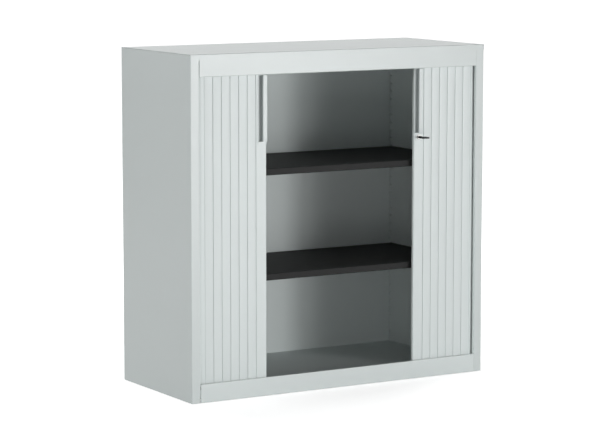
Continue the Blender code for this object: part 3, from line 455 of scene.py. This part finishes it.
# Slot shades: a folded strip in a black coat stands behind each column of slots, on the
# lining's hidden face, as painted shade that darkens the slots. It leaves room for the hooks
# of the shelf clips.
WALL_BACK = 0.063
STRIP_REACH = 0.010
STRIP_SHEET = 0.0008
SEAT = 0.0002
SHORT_OF_ENDS = 0.004
# Each column's strip starts and ends this far behind the front plane.
FRONT_SLOTS = (0.0575, 0.0745)
REAR_SLOTS = (0.4045, 0.4186)
FRONT_PLANE = -0.19885


def slot_shade_strip(start, end, both_legs):
    """A folded strip's outline as points (away from the wall, along): a web that stands off
    the wall, a leg back to it at the start and, where it is asked for, one at the end."""
    deep, thin = STRIP_REACH, STRIP_SHEET
    first = [(SEAT, start + thin), (SEAT, start), (deep, start), (deep, end)]
    second = [(deep - thin, end)]
    if both_legs:
        second = [(SEAT, end), (SEAT, end - thin), (deep - thin, end - thin)]
    return np.array(first + second + [(deep - thin, start + thin)])


for side in ("left", "right"):
    low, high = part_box(f"{side}_lining")
    for end, (start, stop) in (("front", FRONT_SLOTS), ("rear", REAR_SLOTS)):
        outline = slot_shade_strip(start, stop, end == "front")
        loop = np.column_stack([across(side, WALL_BACK - outline[:, 0]),
                                FRONT_PLANE + outline[:, 1]])
        verts, faces = drawn_out([loop], [low.z + SHORT_OF_ENDS, high.z - SHORT_OF_ENDS])
        # Each strip is painted shade: a black sheet where there is only shadow behind the slots.
        strip = new_piece(f"{side}_slot_shade_strip_{end}", verts, faces, shelf_black_and_slot_shade)
        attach(strip, "carcass")


# Pull handles: a moulded insert in each leading stile, with a finger channel and beside it
# a flat lip that stands out 6.7 mm. Both doors carry the same insert, and the right one
# reaches down round the lock. The channel is painted a darker grey than the lip, as painted
# shade for the shadow that falls in the recess.
PULL_WALL = 0.0015
CHANNEL_WIDTH = 0.0125
CHANNEL_DEEP = 0.0062
CHANNEL_FLOOR = 0.0013
CHANNEL_ROUND = 0.0009
LIP_PROUD = 0.0067
LIP_ROUND = 0.0012
FLANGE = 0.0009
FLANGE_ROUND = 0.0005
FIT = 0.0003
STEP_WIDTH = 0.00003
LIP_RISE = 0.0075
SUNK_FROM = 0.0002
LOCK_HOLE = 0.0066
LOCK_REACH = 0.009
LOCK_STEP = 0.0007
LIP_GREY = (0.705, 0.755, 0.750, 1)
# The channel grey is painted shade: the finger recess's shadow drawn into its colour.
CHANNEL_PAINTED_SHADE_GREY = (0.430, 0.467, 0.467, 1)
LOCK_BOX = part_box("lock_housing")
LOCK_X = (LOCK_BOX[0].x + LOCK_BOX[1].x) / 2
LOCK_Z = (LOCK_BOX[0].z + LOCK_BOX[1].z) / 2


def dome(inside, height, radius):
    """A flat step with a rounded rim: 0 outside, and inside the height less a quarter circle
    of the radius that fades with the distance from the edge."""
    near = np.clip(inside / radius, 0, 1)
    return np.where(inside > 0, height - radius * (1 - np.sqrt(1 - (1 - near) ** 2)), 0)


def inside_of(x, z, low, high):
    """How far each grid point lies inside a rectangle; negative outside."""
    return np.minimum(np.minimum(x - low[0], high[0] - x), np.minimum(z - low[1], high[1] - z))


def samples(edges, radius, coarse):
    """Coordinates with a close pair at each edge, a few along the rounding on both sides of
    it, and even steps between."""
    turn = radius * (1 - np.cos(np.radians(np.arange(0, 91, 18))))
    around = np.concatenate([turn + STEP_WIDTH, -turn - STEP_WIDTH])
    near = (np.asarray(edges)[:, None] + around).ravel()
    steps = int((max(edges) - min(edges)) / coarse) + 2
    spread = np.linspace(min(edges), max(edges), steps)
    spread = spread[np.abs(spread[:, None] - near).min(1) > coarse / 3]
    every = np.unique(np.round(np.concatenate([near, spread, [min(edges), max(edges)]]), 6))
    return every[(every >= min(edges)) & (every <= max(edges))]


def relief(across_places, heights, front, back, keep):
    """A plate between two depth fields on one grid. Cells that aren't kept are left out, and
    a wall joins front and back wherever a kept cell has no kept neighbour."""
    columns, rows = len(across_places), len(heights)
    grid_x, grid_z = np.meshgrid(across_places, heights)
    verts = np.concatenate([np.column_stack([grid_x.ravel(), field.ravel(), grid_z.ravel()])
                            for field in (front, back)])
    point = np.arange(rows * columns).reshape(rows, columns)
    corners = np.stack([point[:-1, :-1], point[:-1, 1:], point[1:, 1:], point[1:, :-1]], -1)
    under = columns * rows
    faces = [corners[keep], corners[keep][:, ::-1] + under]
    framed = np.pad(keep, 1)
    inner = framed[1:-1, 1:-1]
    for (first, second), beyond in (((0, 1), framed[:-2, 1:-1]), ((1, 2), framed[1:-1, 2:]),
                                    ((2, 3), framed[2:, 1:-1]), ((3, 0), framed[1:-1, :-2])):
        rim = corners[inner & ~beyond]
        a, b = rim[:, first], rim[:, second]
        faces.append(np.stack([b, a, a + under, b + under], 1))
    return verts, np.concatenate(faces).tolist()


pull_grey_with_painted_shade = grained("pull_plastic_with_painted_shade", LIP_GREY, 0.36, scale=800.0, depth=0.00001, drift=0.02)
pull_tree = pull_grey_with_painted_shade.node_tree
# Faces in the channel take the darker grey, which is painted shade for the recess.
channel_shade_mask = pull_tree.nodes.new("ShaderNodeAttribute")
channel_shade_mask.attribute_name = "channel"
lip_grey_and_painted_shade = pull_tree.nodes.new("ShaderNodeMix")
lip_grey_and_painted_shade.data_type = "RGBA"
lip_grey_and_painted_shade.inputs["B"].default_value = CHANNEL_PAINTED_SHADE_GREY
pull_tree.links.new(channel_shade_mask.outputs["Fac"], lip_grey_and_painted_shade.inputs["Factor"])
pull_tree.links.new(pull_tree.nodes["Group"].outputs["Colour"], lip_grey_and_painted_shade.inputs["A"])
pull_tree.links.new(lip_grey_and_painted_shade.outputs["Result"],
                    pull_tree.nodes["Principled BSDF"].inputs["Base Color"])

for side in ("left", "right"):
    low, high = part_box(f"{side}_handle")
    lip_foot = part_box("left_handle")[0].z + LIP_RISE
    channel_low = (low.x + PULL_WALL, lip_foot)
    channel_high = (channel_low[0] + CHANNEL_WIDTH, high.z - CHANNEL_FLOOR)
    x_edges = [low.x, channel_low[0], channel_high[0], channel_high[0] + PULL_WALL, high.x]
    z_edges = [low.z, lip_foot - CHANNEL_FLOOR, lip_foot, channel_high[1], high.z]
    places = samples(x_edges, LIP_ROUND, coarse=0.0009)
    levels = samples(z_edges, LIP_ROUND, coarse=0.012)
    if side == "right":
        by_lock = np.arange(LOCK_Z - LOCK_REACH, LOCK_Z + LOCK_REACH, LOCK_STEP)
        levels = np.unique(np.round(np.concatenate([levels, by_lock]), 6))
        levels = levels[(levels >= low.z) & (levels <= high.z)]
    x, z = np.meshgrid(places, levels)
    in_flange = inside_of(x, z, (low.x - STEP_WIDTH, low.z - STEP_WIDTH),
                          (high.x + STEP_WIDTH, high.z + STEP_WIDTH))
    in_lip = inside_of(x, z, (channel_high[0], lip_foot), (high.x + STEP_WIDTH / 2, high.z - FIT))
    in_channel = inside_of(x, z, channel_low, channel_high)
    flange = dome(in_flange, FLANGE, FLANGE_ROUND)
    lip = dome(in_lip, LIP_PROUD - FLANGE - FIT, LIP_ROUND)
    channel = dome(in_channel, CHANNEL_DEEP + FLANGE + FIT, CHANNEL_ROUND)
    front = SLAT_FACE - FIT - flange - lip + channel
    body = inside_of(x, z, (low.x + FIT, lip_foot - CHANNEL_FLOOR),
                     (channel_high[0] + PULL_WALL, high.z - FIT)) > 0
    back = np.where(body, SLAT_FACE + CHANNEL_DEEP + CHANNEL_FLOOR, SLAT_FACE - FIT)
    middle_x = (x[:-1, :-1] + x[1:, 1:]) / 2
    middle_z = (z[:-1, :-1] + z[1:, 1:]) / 2
    keep = np.ones(middle_x.shape, bool)
    if side == "right":
        keep = np.hypot(middle_x - LOCK_X, middle_z - LOCK_Z) > LOCK_HOLE
    verts, faces = relief(places, levels, front, back, keep)
    pull = new_piece(f"{side}_handle_fine", verts, faces, pull_grey_with_painted_shade, merge=False)
    # The front's kept cells are the mesh's first faces.
    # Faces that touch the sunk channel are marked for the painted shade.
    sunk = channel > SUNK_FROM
    shaded_cells = (sunk[:-1, :-1] | sunk[:-1, 1:] | sunk[1:, 1:] | sunk[1:, :-1])[keep]
    painted_shades = np.zeros(len(pull.data.polygons), np.float32)
    painted_shades[:shaded_cells.size] = shaded_cells
    mask = pull.data.attributes.new("channel", "FLOAT", "FACE")
    mask.data.foreach_set("value", painted_shades)
    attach(pull, f"{side}_door")
    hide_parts(f"{side}_handle")


# Lock and key: a cam lock through the right stile, nickel-plated, with the cam on its
# tenon and a keeper on the left stile. The key has a flat black moulded bow.
NICKEL = (0.46, 0.46, 0.45, 1)
KEY_BOW = (0.010, 0.011, 0.011, 1)
lock_nickel = grained("lock_nickel", NICKEL, 0.46, scale=160.0, depth=0.000004, drift=0.08,
                      metallic=1.0)
key_black = grained("key_plastic", KEY_BOW, 0.55, scale=700.0, depth=0.00002, gloss=0.2)
for name in ("lock_housing", "lock_plug", "lock_cam"):
    finish_node(name, lock_nickel)
finish_node("keeper_plate", zinc)
finish_node("key", key_black)


# The studio: a white floor that keeps the cabinet's shadow, an even room, soft lamps and
# the camera, which looks down a little from the left of the cabinet.
FLOOR_REACH = 60.0
FLOOR_LEVEL = -0.001
NEAR_FLOOR = 0.8
FAR_FLOOR = 2.4
NEAR_GLOW = 0.58


def stage_floor():
    """A wide floor that looks white to the camera and keeps the cabinet's shadow: its glow
    rises with the distance from the cabinet."""
    mesh = bpy.data.meshes.new("studio_floor")
    corners = [(x * FLOOR_REACH, y * FLOOR_REACH, FLOOR_LEVEL)
               for x, y in ((-1, -1), (1, -1), (1, 1), (-1, 1))]
    mesh.from_pydata(corners, [], [(0, 1, 2, 3)])
    floor = bpy.data.objects.new("studio_floor", mesh)
    bpy.context.scene.collection.objects.link(floor)
    made = bpy.data.materials.new("studio_white")
    made.use_nodes = True
    tree = made.node_tree
    shader = tree.nodes["Principled BSDF"]
    shader.inputs["Base Color"].default_value = (0.82, 0.82, 0.82, 1)
    shader.inputs["Roughness"].default_value = 0.9
    shader.inputs["Specular IOR Level"].default_value = 0.1
    light = tree.nodes.new("ShaderNodeLightPath")
    place = tree.nodes.new("ShaderNodeVectorMath")
    place.operation = "LENGTH"
    tree.links.new(tree.nodes.new("ShaderNodeTexCoord").outputs["Object"], place.inputs[0])
    rise = tree.nodes.new("ShaderNodeMapRange")
    rise.inputs["From Min"].default_value = NEAR_FLOOR
    rise.inputs["From Max"].default_value = FAR_FLOOR
    rise.inputs["To Min"].default_value = NEAR_GLOW
    tree.links.new(place.outputs["Value"], rise.inputs["Value"])
    glow = tree.nodes.new("ShaderNodeEmission")
    glow.inputs["Color"].default_value = (1, 1, 1, 1)
    seen_glow = maths(tree, "MULTIPLY", light.outputs["Is Camera Ray"], rise.outputs["Result"])
    tree.links.new(seen_glow, glow.inputs["Strength"])
    both = tree.nodes.new("ShaderNodeAddShader")
    tree.links.new(shader.outputs[0], both.inputs[0])
    tree.links.new(glow.outputs[0], both.inputs[1])
    # From below the floor is clear, so that the cabinet's underside shows.
    sided = tree.nodes.new("ShaderNodeMixShader")
    geometry = tree.nodes.new("ShaderNodeNewGeometry")
    tree.links.new(geometry.outputs["Backfacing"], sided.inputs["Fac"])
    tree.links.new(both.outputs[0], sided.inputs[1])
    tree.links.new(tree.nodes.new("ShaderNodeBsdfTransparent").outputs[0], sided.inputs[2])
    tree.links.new(sided.outputs[0], tree.nodes["Material Output"].inputs["Surface"])
    mesh.materials.append(made)


def soft_lamp(name, azimuth, elevation, distance, size, power):
    """A square soft box that faces the cabinet's middle: azimuth 0 stands in front of it and
    90 to its right, and elevation is above the horizon, both in degrees."""
    turn, rise = math.radians(azimuth), math.radians(elevation)
    aim = Vector(LAMP_AIM)
    towards = Vector((math.sin(turn) * math.cos(rise), -math.cos(turn) * math.cos(rise),
                      math.sin(rise)))
    place = aim + distance * towards
    data = bpy.data.lights.new(name, "AREA")
    data.size = size
    data.energy = power
    lamp = bpy.data.objects.new(name, data)
    lamp.location = place
    lamp.rotation_euler = (aim - place).to_track_quat("-Z", "Y").to_euler()
    bpy.context.scene.collection.objects.link(lamp)


def studio_world(fill):
    """An even white room: its fill lights the cabinet, and the camera, gloss and clear
    surfaces see it white."""
    world = bpy.data.worlds.new("studio_room")
    bpy.context.scene.world = world
    world.use_nodes = True
    tree = world.node_tree
    light = tree.nodes.new("ShaderNodeLightPath")
    unlit = maths(tree, "MAXIMUM", light.outputs["Is Glossy Ray"],
                  light.outputs["Is Transmission Ray"])
    seen = maths(tree, "MAXIMUM", light.outputs["Is Camera Ray"], unlit)
    strength = maths(tree, "ADD", maths(tree, "MULTIPLY", seen, 1.0 - fill), fill)
    shader = tree.nodes["Background"]
    shader.inputs["Color"].default_value = (1, 1, 1, 1)
    tree.links.new(strength, shader.inputs["Strength"])


LAMP_AIM = (0.0, -0.1, 0.5)
ROOM_FILL = 0.12
# Each lamp's name, azimuth, elevation, distance, size and power.
LAMPS = (
    ("far_key", 25, 4, 6.0, 0.8, 67.0),
    ("far_key_right", 31, 3, 6.0, 0.8, 29.0),
    ("far_key_left", 18, 3, 6.0, 0.8, 21.0),
    ("near_left", -30, 2, 2.4, 0.7, 2.6),
    ("low_front", 15, -4, 3.0, 0.5, 5.2),
    ("low_near", -12, -3, 1.7, 0.5, 0.6),
    ("low_corner", -22, -16, 1.24, 0.2, 0.9),
    ("left_side", -85, 15, 5.0, 1.5, 65.0),
    ("top_left", -80, 75, 3.0, 1.6, 11.0),
    ("rear_right", 110, 20, 5.0, 1.5, 90.0),
    ("rear", 190, 25, 5.0, 1.5, 90.0),
)
CAMERA_PLACE = (-3.7843, -6.2989, 1.4280)
CAMERA_DOWN = 7.431
CAMERA_ROUND = 30.715
CAMERA_LENS = 151.01

stage_floor()
studio_world(ROOM_FILL)
for lamp_row in LAMPS:
    soft_lamp(*lamp_row)

camera_data = bpy.data.cameras.new("camera")
camera_data.sensor_width = 36
camera_data.lens = CAMERA_LENS
camera_data.clip_end = 200
camera = bpy.data.objects.new("camera", camera_data)
camera.location = CAMERA_PLACE
camera.rotation_euler = (math.radians(90 - CAMERA_DOWN), 0, math.radians(-CAMERA_ROUND))
bpy.context.scene.collection.objects.link(camera)
bpy.context.scene.camera = camera
bpy.context.scene.view_settings.view_transform = "Standard"

bpy.context.view_layer.update()
